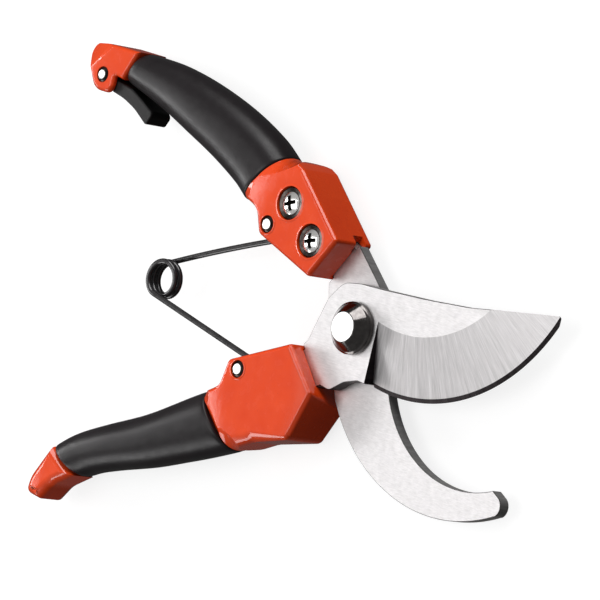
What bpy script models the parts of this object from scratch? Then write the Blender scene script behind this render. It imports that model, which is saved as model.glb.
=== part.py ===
"""One-hand bypass pruner with two clamped handles, a ground cutting blade, a hook blade, a double-torsion
handle spring and a swinging catch.

Frame: pivot axis is +Z through the origin, the blades point along +X, and Z = 0 is the flat end of the
pivot nut. The upper handle carries the hook blade (rear layer) and stands still; the lower handle carries
the cutting blade (front layer). Rest is the fully open pose. Lengths below are millimetres.
"""

from math import atan2, cos, degrees, hypot, pi, radians, sin, sqrt

import bmesh
import bpy
import numpy as np
from mathutils import Matrix

for old in list(bpy.data.objects):
    bpy.data.objects.remove(old, do_unlink=True)

MM = 0.001
GAP = 0.3

# ---- levels along Z
BACK, FRONT = 0.8, 17.3
MID = (BACK + FRONT) / 2
HOOK_Z = (3.6, 7.4)
BLADE_Z = (7.6, 12.0)
TAIL_THICK = 12.9
LATCH_THICK = 8.8
HEAD_TOP = 17.1

# ---- joint centres and fasteners
UPPER_RIVET = (-39.9, 22.9)
LOWER_RIVET = (-38.2, -21.9)
LATCH_PIN = (-127.1, 53.1)
HOOK_SCREWS = ((-32.6, 31.0), (-20.9, 21.8))
BLADE_SCREWS = ((-20.5, -19.9), (-31.9, -29.7))
SCREW_HEAD_R, SCREW_R, POCKET_R = 4.7, 2.5, 5.2
RIVET_HEAD_R, RIVET_R = 2.55, 2.0

# ---- pivot
BOLT_R, BUSH_R, PIVOT_HEAD_R = 4.0, 5.0, 8.0

# ---- blades
EDGE_CENTRE, EDGE_R, GRIND_R, MICRO_R = (19.7, 45.1), 61.5, 42.3, 60.2
HEEL_X = 9.05
HOOK_IN = ((49.2, 1.1), 37.8)
HOOK_OUT = ((41.0, 9.4), 56.4)

# ---- spring
WIRE_R, COIL_R, EYE_R = 0.88, 5.35, 3.1
COIL = (-85.6, -3.3)
LEG_Z = (6.6, 11.5)
COIL_TURNS = 2
SLOT_HALF = 1.3


# ================================================================= helpers
def xy(centre, radius, angle):
    return (centre[0] + radius * cos(radians(angle)), centre[1] + radius * sin(radians(angle)))


def arc(centre, radius, start, end, count):
    return [xy(centre, radius, a) for a in np.linspace(start, end, count)]


def rounded(corners, steps=4):
    """A closed outline from (x, y, radius) corners, each corner turned into an arc."""
    out = []
    count = len(corners)
    for i, corner in enumerate(corners):
        x, y = corner[:2]
        radius = corner[2] if len(corner) > 2 else 0
        p = np.array(corners[i - 1][:2], float)
        n = np.array(corners[(i + 1) % count][:2], float)
        c = np.array((x, y), float)
        if radius <= 0:
            out.append((x, y))
            continue
        u, v = p - c, n - c
        lu, lv = np.linalg.norm(u), np.linalg.norm(v)
        u, v = u / lu, v / lv
        angle = np.arccos(np.clip(u @ v, -1, 1))
        if angle > radians(176):
            out.append((x, y))
            continue
        reach = min(radius / np.tan(angle / 2), 0.48 * lu, 0.48 * lv)
        radius = reach * np.tan(angle / 2)
        centre = c + (u + v) / np.linalg.norm(u + v) * radius / np.sin(angle / 2)
        a, b = c + u * reach, c + v * reach
        a0 = atan2(*(a - centre)[::-1])
        turn = (atan2(*(b - centre)[::-1]) - a0 + pi) % (2 * pi) - pi
        number = max(2, int(np.ceil(steps * abs(turn) / (pi / 2))) + 1)
        for t in np.linspace(0, 1, number):
            out.append((centre[0] + radius * cos(a0 + turn * t), centre[1] + radius * sin(a0 + turn * t)))
    return out


def ccw(outline):
    p = np.array(outline, float)
    q = np.roll(p, -1, 0)
    return p if (p[:, 0] * q[:, 1] - q[:, 0] * p[:, 1]).sum() > 0 else p[::-1]


def inset(outline, distance):
    """The counter-clockwise outline moved inwards by a distance (outwards when negative)."""
    p = ccw(outline)
    before, after = p - np.roll(p, 1, 0), np.roll(p, -1, 0) - p
    before /= np.linalg.norm(before, axis=1)[:, None]
    after /= np.linalg.norm(after, axis=1)[:, None]
    n1 = np.c_[-before[:, 1], before[:, 0]]
    n2 = np.c_[-after[:, 1], after[:, 0]]
    n = n1 + n2
    n /= (n * n1).sum(1)[:, None]
    return p + n * distance


def add(name, points, faces, smooth=None):
    mesh = bpy.data.meshes.new(name)
    mesh.from_pydata([tuple(float(v) for v in p) for p in points], [], [tuple(f) for f in faces])
    bm = bmesh.new()
    bm.from_mesh(mesh)
    bmesh.ops.remove_doubles(bm, verts=bm.verts, dist=1e-4)
    bmesh.ops.recalc_face_normals(bm, faces=bm.faces)
    bm.to_mesh(mesh)
    bm.free()
    obj = bpy.data.objects.new(name, mesh)
    bpy.context.scene.collection.objects.link(obj)
    if smooth is not None:
        for face in mesh.polygons:
            face.use_smooth = True
        mesh.set_sharp_from_angle(angle=radians(smooth))
    return obj


def rings(name, loops, smooth=35, closed=False):
    """A body through closed loops of equal length, capped at both ends, or joined end to end when closed."""
    loops = [np.array(loop, float) for loop in loops]
    size = len(loops[0])
    points = np.concatenate(loops)
    faces = []
    last = len(loops) if closed else len(loops) - 1
    for k in range(last):
        a, b = k * size, ((k + 1) % len(loops)) * size
        for i in range(size):
            j = (i + 1) % size
            faces.append((a + i, a + j, b + j, b + i))
    if not closed:
        faces.append(tuple(range(size))[::-1])
        faces.append(tuple((len(loops) - 1) * size + i for i in range(size)))
    return add(name, points, faces, smooth)


def prism(name, outline, low, high, round_edge=0.0, smooth=35):
    """The outline stood up between two levels, with its rim rounded."""
    p = ccw(outline)
    steps = [(0.0, 0.0)]
    if round_edge:
        steps = [(round_edge * (1 - sin(a)), round_edge * (1 - cos(a))) for a in np.linspace(0, pi / 2, 3)]
    loops = []
    for sideways, upwards in steps:
        q = inset(p, sideways) if sideways else p
        loops.append(np.c_[q, np.full(len(q), low + upwards)])
    for sideways, upwards in steps[::-1]:
        q = inset(p, sideways) if sideways else p
        loops.append(np.c_[q, np.full(len(q), high - upwards)])
    return rings(name, loops, smooth)


def turned(name, centre, profile, count=48, smooth=35):
    """A body of revolution about Z through the centre; the profile is (radius, z) and starts and ends on the axis or closes on itself."""
    on_axis = profile[0][0] == 0 and profile[-1][0] == 0
    inner = profile[1:-1] if on_axis else profile
    angles = np.linspace(0, 2 * pi, count, endpoint=False)
    loops = [[(centre[0] + r * cos(a), centre[1] + r * sin(a), z) for a in angles] for r, z in inner]
    return rings(name, loops, smooth, closed=not on_axis)


def evaluated(obj, other, operation, solver):
    modifier = obj.modifiers.new(other.name, "BOOLEAN")
    modifier.operation = operation
    modifier.solver = solver
    modifier.object = other
    graph = bpy.context.evaluated_depsgraph_get()
    graph.update()
    mesh = bpy.data.meshes.new_from_object(obj.evaluated_get(graph))
    obj.modifiers.clear()
    bm = bmesh.new()
    bm.from_mesh(mesh)
    bmesh.ops.remove_doubles(bm, verts=bm.verts, dist=2e-4)
    bmesh.ops.dissolve_degenerate(bm, edges=bm.edges, dist=2e-4)
    sound = len(bm.faces) > 3 and all(len(e.link_faces) == 2 for e in bm.edges)
    bm.to_mesh(mesh)
    bm.free()
    return mesh, sound


def boolean(obj, other, operation="DIFFERENCE"):
    """Cuts or joins by a Boolean, exact first, keeps the result as the object's mesh and drops the other body."""
    mesh, sound = evaluated(obj, other, operation, "EXACT")
    if not sound:
        mesh, sound = evaluated(obj, other, operation, "MANIFOLD")
    obj.data = mesh
    bpy.data.objects.remove(other, do_unlink=True)


def finish(obj):
    """Shades the body smooth with its real edges left sharp."""
    for face in obj.data.polygons:
        face.use_smooth = True
    obj.data.set_sharp_from_angle(angle=radians(35))


def drill(obj, centre, radius, low, high, count=48):
    boolean(obj, turned("cut", centre, [(0, low), (radius, low), (radius, high), (0, high)], count))


def section(centre, e_angle, width, thick, count=28, power=2.7, z=MID):
    """A rounded-rectangle loop in the plane that holds Z and the direction e_angle."""
    ex, ey = cos(radians(e_angle)), sin(radians(e_angle))
    loop = []
    for a in np.linspace(0, 2 * pi, count, endpoint=False):
        c, s = cos(a), sin(a)
        u = width / 2 * np.sign(c) * abs(c) ** (2 / power)
        w = thick / 2 * np.sign(s) * abs(s) ** (2 / power)
        loop.append((centre[0] + u * ex, centre[1] + u * ey, z + w))
    return loop


def smooth_stations(stations, count):
    """Stations (x, y, direction, width, thickness) resampled along a Catmull-Rom curve."""
    s = np.array(stations, float)
    s = np.vstack([2 * s[0] - s[1], s, 2 * s[-1] - s[-2]])
    out = []
    for t in np.linspace(0, len(stations) - 1, count):
        i = min(int(t), len(stations) - 2)
        f = t - i
        p0, p1, p2, p3 = s[i], s[i + 1], s[i + 2], s[i + 3]
        out.append(0.5 * (2 * p1 + (p2 - p0) * f + (2 * p0 - 5 * p1 + 4 * p2 - p3) * f**2 + (3 * p1 - p0 - 3 * p2 + p3) * f**3))
    return out


def core(name, stations, count, wall, head_reach, tail_reach, segments=28, power=2.7):
    """The casting's core inside the grip, run straight on into the head block and the tail."""
    smooth = smooth_stations(stations, count)
    shrink = 2 * (wall + GAP)
    first, last = smooth[0].copy(), smooth[-1].copy()
    for end, towards, reach in ((first, smooth[0] - smooth[1], head_reach), (last, smooth[-1] - smooth[-2], tail_reach)):
        end[:2] += towards[:2] / np.linalg.norm(towards[:2]) * reach
    return rings(name, [section(s[:2], s[2], s[3] - shrink, s[4] - shrink, segments, power) for s in [first, *smooth, last]])


def sleeve(name, stations, count, wall, segments=28, power=2.7):
    smooth = smooth_stations(stations, count)
    outer = [section(s[:2], s[2], s[3], s[4], segments, power) for s in smooth]
    # the rim corners are eased
    outer[0] = section(smooth[0][:2], smooth[0][2], smooth[0][3] - 0.6, smooth[0][4] - 0.6, segments, power)
    outer[-1] = section(smooth[-1][:2], smooth[-1][2], smooth[-1][3] - 0.6, smooth[-1][4] - 0.6, segments, power)
    inner = [section(s[:2], s[2], s[3] - 2 * wall, s[4] - 2 * wall, segments, power) for s in smooth]
    return rings(name, outer + inner[::-1], closed=True)


def fan(name, centre, radius, start, end, reach, low, high):
    """A slot cutter: a round end about the centre that opens out between two directions."""
    outline = arc(centre, radius, end + 90, start + 270, 14)
    a, b = xy(centre, reach, start), xy(centre, reach, end)
    outline += [xy(a, radius, start - 90)] + arc(centre, reach, start, end, 6) + [xy(b, radius, end + 90)]
    return prism(name, outline, low, high)


# ================================================================= upper handle (clamps the hook blade)
UPPER_STATIONS = [
    (-50.0, 36.2, 47.0, 21.0, 17.0),
    (-57.0, 40.4, 58.0, 20.6, 17.0),
    (-70.0, 46.0, 68.0, 19.6, 16.8),
    (-85.0, 50.9, 73.0, 18.0, 16.2),
    (-100.0, 54.9, 74.0, 15.2, 14.8),
    (-115.3, 57.6, 64.0, 11.9, 13.3),
]
UPPER_HEAD = [
    (-10.2, 24.1, 1.2), (-18.6, 11.1, 1.6), (-43.1, 19.4, 2.5), (-46.4, 26.6, 5.0),
    (-55.4, 30.0, 2.0), (-42.2, 44.1, 1.5), (-34.2, 43.6, 4.0), (-30.8, 42.0, 3.0),
]
UPPER_TAIL = [
    (-113.2, 62.9), (-126.0, 63.2, 20), (-138.9, 61.8, 3.0), (-130.0, 47.9, 5.0),
    (-122.0, 47.9, 4.8), (-121.9, 53.7, 0.4), (-117.9, 53.1),
]


WALL = 2.0
upper = prism("upper_handle", rounded(UPPER_HEAD), BACK, FRONT, 1.3)
boolean(upper, core("core", UPPER_STATIONS, 14, WALL, 9.0, 5.0), "UNION")
tail = prism("tail", rounded(UPPER_TAIL), MID - TAIL_THICK / 2, MID + TAIL_THICK / 2, 1.2)
boolean(upper, tail, "UNION")
finish(upper)

# the tang pocket, open at the end face
HOOK_TANG = [(-33.9, 39.0, 2.0), (-17.5, 26.1, 3.0), (-11.2, 22.6), (-17.6, 12.6), (-24.3, 17.5, 3.0), (-40.7, 30.4, 2.0)]
mouth = [(-33.9, 39.0, 2.0), (-17.5, 26.1, 3.0), (-11.2, 22.6), (-4.8, 18.4), (-11.2, 8.4), (-17.6, 12.6), (-24.3, 17.5, 3.0), (-40.7, 30.4, 2.0)]
boolean(upper, prism("pocket", inset(rounded(mouth), -GAP), HOOK_Z[0] - 0.2, HOOK_Z[1] + 0.2))
for centre in HOOK_SCREWS:
    drill(upper, centre, POCKET_R, 13.0, 20.0)
    drill(upper, centre, SCREW_R + 0.2, 1.8, 14.0, 32)
drill(upper, UPPER_RIVET, RIVET_R + 0.15, -1.0, 20.0, 32)
drill(upper, UPPER_RIVET, RIVET_HEAD_R + 0.2, 15.2, 20.0, 32)
drill(upper, UPPER_RIVET, RIVET_HEAD_R + 0.2, -1.0, 2.6, 32)
boolean(upper, fan("slot", UPPER_RIVET, 4.4, 163, 213, 18.0, LEG_Z[0] - SLOT_HALF, LEG_Z[0] + SLOT_HALF))
# the catch's slot between two ears
ears = rounded([(-121.4, 58.4, 5.4), (-121.4, 54.0), (-112.0, 52.0), (-112.0, 30.0), (-160.0, 30.0), (-160.0, 47.0), (-131.0, 58.4, 5.4)], 8)
boolean(upper, prism("ears", ears, MID - LATCH_THICK / 2 - GAP, MID + LATCH_THICK / 2 + GAP))
drill(upper, LATCH_PIN, RIVET_R + 0.15, -1.0, 20.0, 32)
drill(upper, LATCH_PIN, RIVET_HEAD_R, 14.6, 20.0, 32)
drill(upper, LATCH_PIN, RIVET_HEAD_R, -1.0, 3.5, 32)


def corner_cut(name, a, b, reach, drop, level, up):
    """A wedge that slopes a face down from the line a-b to the left of it."""
    a, b = np.array(a, float), np.array(b, float)
    u = (b - a) / np.linalg.norm(b - a)
    left = np.array((-u[1], u[0]))
    a, b = a - u * 12, b + u * 12
    loops = []
    for p in (a, b):
        q = p + left * reach
        s = 1 if up else -1
        loops.append([(p[0] - left[0], p[1] - left[1], level + s * drop / reach), (q[0], q[1], level - s * drop), (q[0], q[1], level + s * 3), (p[0] - left[0], p[1] - left[1], level + s * 3)])
    return rings(name, loops)


TAIL_TOP, TAIL_LOW = MID + TAIL_THICK / 2, MID - TAIL_THICK / 2
boolean(upper, corner_cut("slope", (-132.3, 54.3), (-126.6, 61.0), 12.0, 5.2, TAIL_TOP, True))
boolean(upper, corner_cut("slope", (-132.3, 54.3), (-126.6, 61.0), 12.0, 5.2, TAIL_LOW, False))
finish(upper)

sleeve("upper_grip", UPPER_STATIONS, 14, WALL)

# ================================================================= lower handle (clamps the cutting blade)
LOWER_STATIONS = [
    (-45.8, -39.3, 136.3, 22.0, 17.0),
    (-62.0, -46.9, 118.0, 18.6, 16.6),
    (-75.0, -52.8, 112.5, 16.6, 16.0),
    (-90.0, -58.4, 111.5, 14.8, 15.0),
    (-100.0, -62.6, 122.0, 14.0, 14.0),
    (-107.3, -66.9, 150.7, 14.6, 13.3),
]
LOWER_HEAD = [
    (-19.3, -9.5, 1.2), (-6.3, -21.8, 1.2), (-11.8, -37.6, 3.0), (-27.0, -41.8, 10.0), (-37.4, -46.9, 1.0),
    (-52.0, -32.6, 1.5), (-45.0, -28.2, 4.0), (-43.4, -19.9, 2.0),
]
LOWER_TAIL = [
    (-113.2, -64.1), (-116.4, -69.6, 9), (-119.6, -75.2, 9), (-120.2, -80.6, 2.2), (-113.9, -81.4, 0.8), (-109.6, -75.8, 9), (-101.5, -70.7),
]
lower = prism("lower_handle", rounded(LOWER_HEAD), BACK, FRONT, 1.3)
boolean(lower, core("core", LOWER_STATIONS, 14, WALL, 9.0, 5.0), "UNION")
boolean(lower, prism("tail", rounded(LOWER_TAIL), TAIL_LOW, TAIL_TOP, 2.2), "UNION")
finish(lower)

# the tang pocket, open at the end face
mouth = [(-32.7, -37.2, 2.0), (-17.1, -23.8, 3.0), (-8.6, -19.6), (-4.4, -15.2), (-13.8, -6.3), (-18.0, -10.7), (-23.9, -16.0, 3.0), (-39.5, -29.4, 2.0)]
boolean(lower, prism("pocket", inset(rounded(mouth), -GAP), BLADE_Z[0] - 0.2, BLADE_Z[1] + 0.2))
for centre in BLADE_SCREWS:
    drill(lower, centre, POCKET_R, -1.0, 5.1)
    drill(lower, centre, SCREW_R + 0.2, 4.0, 15.8, 32)
drill(lower, LOWER_RIVET, RIVET_R + 0.15, -1.0, 20.0, 32)
drill(lower, LOWER_RIVET, RIVET_HEAD_R + 0.2, 15.2, 20.0, 32)
drill(lower, LOWER_RIVET, RIVET_HEAD_R + 0.2, -1.0, 2.6, 32)
boolean(lower, fan("slot", LOWER_RIVET, 4.4, 154, 205, 18.0, LEG_Z[1] - SLOT_HALF, LEG_Z[1] + SLOT_HALF))
finish(lower)

sleeve("lower_grip", LOWER_STATIONS, 14, WALL)

# ================================================================= hook blade
hook_outline = [(-33.9, 39.0, 2.0), (-17.5, 26.1, 3.0), (-11.2, 22.6), (-10.86, 22.38), (-9.9, 23.9, 0.6), (2.8, 13.2, 6.0), (9.4, 8.4, 4.0)]
hook_outline += [(x, y) for x, y in arc(*HOOK_IN, 179, 293.5, 30)]
hook_outline += [(x, y) for x, y in arc((65.1, -37.9), 3.45, 66, -52, 7)][1:]
hook_outline += [(x, y) for x, y in arc(*HOOK_OUT, 297.0, 214.6, 26)]
hook_outline += [(-6.5, -20.3, 1.0), (-10.0, -15.3, 4.0), (-14.2, -8.0, 8.0), (-16.0, 0.0, 10.0), (-17.6, 6.5, 6.0), (-18.7, 10.4, 0.6), (-17.26, 12.38), (-17.6, 12.6), (-24.3, 17.5, 3.0), (-40.7, 30.4, 2.0)]
hook = prism("hook_blade", rounded(hook_outline), *HOOK_Z)
drill(hook, (0, 0), BOLT_R + 0.06, 0, 20)
for centre in HOOK_SCREWS:
    drill(hook, centre, SCREW_R + 0.2, 0, 20, 32)
finish(hook)

# ================================================================= cutting blade
SPINE = [(-15.3, -0.5, 12.0), (-13.0, 6.6, 6.0), (-8.2, 12.4, 6.0), (-1.0, 13.5, 8.0), (8.0, 13.7, 20.0), (25.3, 14.6, 40.0), (43.4, 16.1, 40.0), (58.8, 18.5, 30.0), (75.0, 20.95, 0.8)]
blade_outline = [(-39.5, -29.4, 2.0), (-23.9, -16.0, 3.0), (-18.0, -10.7), (-17.73, -10.41), (-19.0, -9.2, 0.5), (-17.4, -7.6, 1.0)] + SPINE
blade_outline += [(x, y) for x, y in arc(EDGE_CENTRE, EDGE_R + 1.0, -27.75, -99.6, 24)]
blade_outline += [(HEEL_X + 0.3, -14.95), (6.1, -14.7, 3.0), (0.8, -16.4, 4.0), (-4.2, -20.0, 3.0), (-7.7, -19.5, 0.6), (-8.33, -19.31), (-8.6, -19.6), (-17.1, -23.8, 3.0), (-32.7, -37.2, 2.0)]
blade = prism("cutting_blade", rounded(blade_outline), *BLADE_Z)
drill(blade, (0, 0), BUSH_R + 0.07, 0, 20)
for centre in BLADE_SCREWS:
    drill(blade, centre, SCREW_R + 0.2, 0, 20, 32)
# the hollow left by grinding about one axis: a broad bevel and a narrow second one at the edge
low, high = BLADE_Z
slope = (high - (low + 0.6)) / (MICRO_R - GRIND_R)
micro = 0.6 / (EDGE_R - MICRO_R)
grind = [
    (GRIND_R - 1.2 / slope, high + 1.2), (MICRO_R, low + 0.6), (EDGE_R, low), (EDGE_R + 1.6, low - 1.6 * micro), (EDGE_R + 30, low - 1.6 * micro), (EDGE_R + 30, high + 1.2),
]
sweep = np.linspace(radians(245), radians(377), 67)
loops = [[(EDGE_CENTRE[0] + r * cos(a), EDGE_CENTRE[1] + r * sin(a), z) for r, z in grind] for a in sweep]
ground = rings("ground", loops)
side = prism("side", [(HEEL_X, -80), (140, -80), (140, 60), (HEEL_X, 60)], low - 3, high + 3)
boolean(ground, side, "INTERSECT")
boolean(blade, ground)
finish(blade)

# ================================================================= screws and rivets


def screw(name, centre, head_low, tip, facing):
    """A pan-head screw with a cross recess; facing is +1 when the head looks to +Z."""
    s = facing
    base = head_low
    profile = [
        (0, tip), (SCREW_R - 0.5, tip), (SCREW_R, tip + 0.5 * s), (SCREW_R, base), (SCREW_HEAD_R, base), (SCREW_HEAD_R, base + 1.2 * s),
        (SCREW_HEAD_R - 0.5, base + 2.1 * s), (SCREW_HEAD_R - 1.6, base + 2.7 * s), (SCREW_HEAD_R - 3.0, base + 3.0 * s), (0, base + 3.0 * s),
    ]
    obj = turned(name, centre, profile, 24)
    for turn in (20, 110):
        bar = []
        for along, across in ((-2.3, -0.45), (2.3, -0.45), (2.3, 0.45), (-2.3, 0.45)):
            c, d = cos(radians(turn)), sin(radians(turn))
            bar.append((centre[0] + along * c - across * d, centre[1] + along * d + across * c))
        levels = sorted((base + 1.2 * s, base + 5 * s))
        boolean(obj, prism("recess", bar, *levels))
    finish(obj)
    return obj


def rivet(name, centre, low, high):
    r, shank = RIVET_HEAD_R, RIVET_R
    return turned(name, centre, [(0, low), (r - 0.5, low), (r, low + 0.5), (r, low + 1.7), (shank, low + 1.7), (shank, high - 2.0), (r, high - 2.0), (r, high - 0.5), (r - 0.6, high), (0, high)], 24)


screw("hook_screw_1", HOOK_SCREWS[0], 13.3, 2.2, 1)
screw("hook_screw_2", HOOK_SCREWS[1], 13.3, 2.2, 1)
screw("blade_screw_1", BLADE_SCREWS[0], 4.8, 15.4, -1)
screw("blade_screw_2", BLADE_SCREWS[1], 4.8, 15.4, -1)
rivet("upper_spring_rivet", UPPER_RIVET, 0.6, 17.7)
rivet("lower_spring_rivet", LOWER_RIVET, 0.6, 17.7)
pin_low, pin_high, r = TAIL_LOW - 0.3, TAIL_TOP + 0.4, RIVET_HEAD_R - 0.2
turned("latch_rivet", LATCH_PIN, [(0, pin_low), (r - 0.5, pin_low), (r, pin_low + 0.5), (r, 3.2), (RIVET_R, 3.2), (RIVET_R, 14.9), (r, 14.9), (r, pin_high - 0.5), (r - 0.6, pin_high), (0, pin_high)], 24)

# ================================================================= catch
LATCH = [
    (-122.6, 52.6, 0.6), (-114.6, 51.0, 6.0), (-109.0, 48.3, 4.0), (-103.2, 45.2, 0.8), (-105.4, 41.1, 0.8),
    (-112.1, 45.2, 12.0), (-117.8, 47.4, 12.0), (-124.0, 48.7, 1.0),
]
latch = prism("latch", rounded(LATCH), MID - LATCH_THICK / 2, MID + LATCH_THICK / 2, 0.6)
boolean(latch, turned("eye", LATCH_PIN, [(0, MID - 4.36), (4.6, MID - 4.36), (4.6, MID + 4.36), (0, MID + 4.36)], 40), "UNION")
finish(latch)
drill(latch, LATCH_PIN, RIVET_R + 0.06, -1.0, 20.0, 32)
finish(latch)

# ================================================================= pivot
turned("pivot_bolt", (0, 0), [(0, 1.2), (BOLT_R - 0.5, 1.2), (BOLT_R, 1.7), (BOLT_R, 12.1), (PIVOT_HEAD_R - 0.2, 12.1), (PIVOT_HEAD_R, 12.3), (PIVOT_HEAD_R, 13.4), (7.5, 14.0), (4.8, 16.8), (4.4, HEAD_TOP), (0, HEAD_TOP)], 64)
turned("pivot_bush", (0, 0), [(BOLT_R + 0.06, 7.65), (BUSH_R, 7.65), (BUSH_R, 11.95), (BOLT_R + 0.06, 11.95)], 48)
turned("pivot_spring_washer", (0, 0), [(4.3, 3.05), (7.2, 3.2), (7.2, 3.5), (4.3, 3.35)], 48)
hexagon = [xy((0, 0), 6.5 / cos(pi / 6), 60 * k) for k in range(6)]
nut = prism("pivot_nut", hexagon, 0.0, 2.9, 0.25)
drill(nut, (0, 0), BOLT_R + 0.06, 1.0, 6.0)
finish(nut)


# ================================================================= handle spring
def inner_tangent(a, ra, b, rb):
    """The line from circle a to circle b that has a on its right and b on its left: its direction and end points."""
    a, b = np.array(a, float), np.array(b, float)
    d = b - a
    angle = atan2(d[1], d[0]) - np.arcsin((ra + rb) / np.linalg.norm(d))
    u = np.array((cos(angle), sin(angle)))
    left = np.array((-u[1], u[0]))
    return angle, a + ra * left, b - rb * left


def tube(name, path, radius, count=8):
    path = np.array(path, float)
    tangent = np.gradient(path, axis=0)
    tangent /= np.linalg.norm(tangent, axis=1)[:, None]
    side = np.cross(tangent[0], (0, 0, 1.0))
    loops = []
    for p, t in zip(path, tangent):
        side = side - t * (side @ t)
        side /= np.linalg.norm(side)
        up = np.cross(t, side)
        loops.append([p + radius * (cos(a) * side + sin(a) * up) for a in np.linspace(0, 2 * pi, count, endpoint=False)])
    return rings(name, loops, 60)


def eye_path(centre, end, z, turn, sweep=282, count=16):
    """The open eye about a rivet, ending at the point where the leg leaves it."""
    a = degrees(atan2(end[1] - centre[1], end[0] - centre[0]))
    return [(*xy(centre, EYE_R, a - turn * sweep * (1 - t)), z) for t in np.linspace(0, 1, count)]


# rear half: eye on the upper rivet, leg, first part of the coil (runs counter-clockwise)
angle_in, leave, meet = inner_tangent(UPPER_RIVET, EYE_R, COIL, COIL_R)
path_rear = eye_path(UPPER_RIVET, leave, LEG_Z[0], -1)
path_rear += [(*(leave + (meet - leave) * t), LEG_Z[0]) for t in np.linspace(0, 1, 5)[1:]]
start = degrees(atan2(meet[1] - COIL[1], meet[0] - COIL[0])) % 360
# front half: same for the lower rivet, walked from its eye back to the coil (mirror of the line above)
mirrored = (LOWER_RIVET[0], -LOWER_RIVET[1])
angle_out, leave2, meet2 = inner_tangent(mirrored, EYE_R, (COIL[0], -COIL[1]), COIL_R)
leave2, meet2 = np.array((leave2[0], -leave2[1])), np.array((meet2[0], -meet2[1]))
finish = degrees(atan2(meet2[1] - COIL[1], meet2[0] - COIL[0])) % 360
total = finish + 360 * COIL_TURNS - start


def coil_point(t):
    a = start + total * t
    ease = t * t * (3 - 2 * t) * 0.15 + t * 0.85
    return (*xy(COIL, COIL_R, a), LEG_Z[0] + (LEG_Z[1] - LEG_Z[0]) * ease)


cut = 0.15 / (radians(total) * COIL_R)
path_rear += [coil_point(t) for t in np.linspace(0, 0.5 - cut, 30)[1:]]
tube("spring_rear_half", path_rear, WIRE_R)
path_front = eye_path(LOWER_RIVET, leave2, LEG_Z[1], 1)
path_front += [(*(leave2 + (meet2 - leave2) * t), LEG_Z[1]) for t in np.linspace(0, 1, 5)[1:]]
path_front += [coil_point(t) for t in np.linspace(1, 0.5 + cut, 30)[1:]]
tube("spring_front_half", path_front, WIRE_R)

# the lengths above are millimetres; the scene is in metres
for obj in bpy.context.scene.objects:
    obj.data.transform(Matrix.Scale(MM, 4))
    obj.data.name = obj.name

# ================================================================= looks
LOOKS = {
    "orange_paint": ((0.80, 0.085, 0.015, 1), 0.25, 0.0),
    "black_rubber": ((0.022, 0.020, 0.022, 1), 0.55, 0.0),
    "ground_steel": ((0.62, 0.61, 0.60, 1), 0.35, 1.0),
    "dark_chrome": ((0.20, 0.19, 0.19, 1), 0.2, 1.0),
    "zinc_steel": ((0.60, 0.59, 0.56, 1), 0.3, 1.0),
    "black_wire": ((0.02, 0.02, 0.022, 1), 0.3, 0.6),
    "black_plastic": ((0.012, 0.011, 0.013, 1), 0.5, 0.0),
    "bronze": ((0.45, 0.26, 0.10, 1), 0.4, 1.0),
}
WEARS = {
    "upper_handle": "orange_paint", "lower_handle": "orange_paint", "upper_grip": "black_rubber", "lower_grip": "black_rubber",
    "hook_blade": "ground_steel", "cutting_blade": "ground_steel", "hook_screw_1": "zinc_steel", "hook_screw_2": "zinc_steel",
    "blade_screw_1": "zinc_steel", "blade_screw_2": "zinc_steel", "upper_spring_rivet": "zinc_steel", "lower_spring_rivet": "zinc_steel",
    "latch_rivet": "zinc_steel", "latch": "black_plastic", "pivot_bolt": "dark_chrome", "pivot_bush": "bronze",
    "pivot_spring_washer": "zinc_steel", "pivot_nut": "zinc_steel", "spring_rear_half": "black_wire", "spring_front_half": "black_wire",
}
for name, look in WEARS.items():
    colour, rough, metal = LOOKS[look]
    material = bpy.data.materials.new(name)
    material.use_nodes = True
    shader = material.node_tree.nodes["Principled BSDF"]
    shader.inputs["Base Color"].default_value = colour
    shader.inputs["Roughness"].default_value = rough
    shader.inputs["Metallic"].default_value = metal
    obj = bpy.data.objects[name]
    obj.data.materials.clear()
    obj.data.materials.append(material)
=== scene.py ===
"""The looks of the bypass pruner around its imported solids: finer meshes for every piece, procedural materials,
a pale floor, soft studio light and the camera."""

from math import atan2, ceil, cos, degrees, pi, radians, sin

import bmesh
import bpy
import numpy as np
from mathutils import Matrix, Vector


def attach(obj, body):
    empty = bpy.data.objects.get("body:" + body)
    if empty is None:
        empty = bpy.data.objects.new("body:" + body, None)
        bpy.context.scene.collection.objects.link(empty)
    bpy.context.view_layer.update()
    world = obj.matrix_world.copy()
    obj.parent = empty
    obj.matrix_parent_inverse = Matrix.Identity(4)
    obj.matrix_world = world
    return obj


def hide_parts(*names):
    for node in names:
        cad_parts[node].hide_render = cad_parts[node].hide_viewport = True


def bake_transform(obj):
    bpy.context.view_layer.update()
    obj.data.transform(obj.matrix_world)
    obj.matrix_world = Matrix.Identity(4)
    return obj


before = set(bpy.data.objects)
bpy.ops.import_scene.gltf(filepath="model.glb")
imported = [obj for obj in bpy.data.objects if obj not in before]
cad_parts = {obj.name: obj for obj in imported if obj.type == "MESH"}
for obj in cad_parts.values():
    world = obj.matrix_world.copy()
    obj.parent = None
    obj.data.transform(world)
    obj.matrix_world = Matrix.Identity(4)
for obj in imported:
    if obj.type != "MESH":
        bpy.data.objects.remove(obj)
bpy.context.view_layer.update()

MM = 0.001
GAP = 0.3
# ---- levels along Z
BACK, FRONT = 0.8, 17.3
MID = (BACK + FRONT) / 2
HOOK_Z = (3.6, 7.4)
BLADE_Z = (7.6, 12.0)
TAIL_THICK = 12.9
LATCH_THICK = 8.8
HEAD_TOP = 17.1

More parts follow.
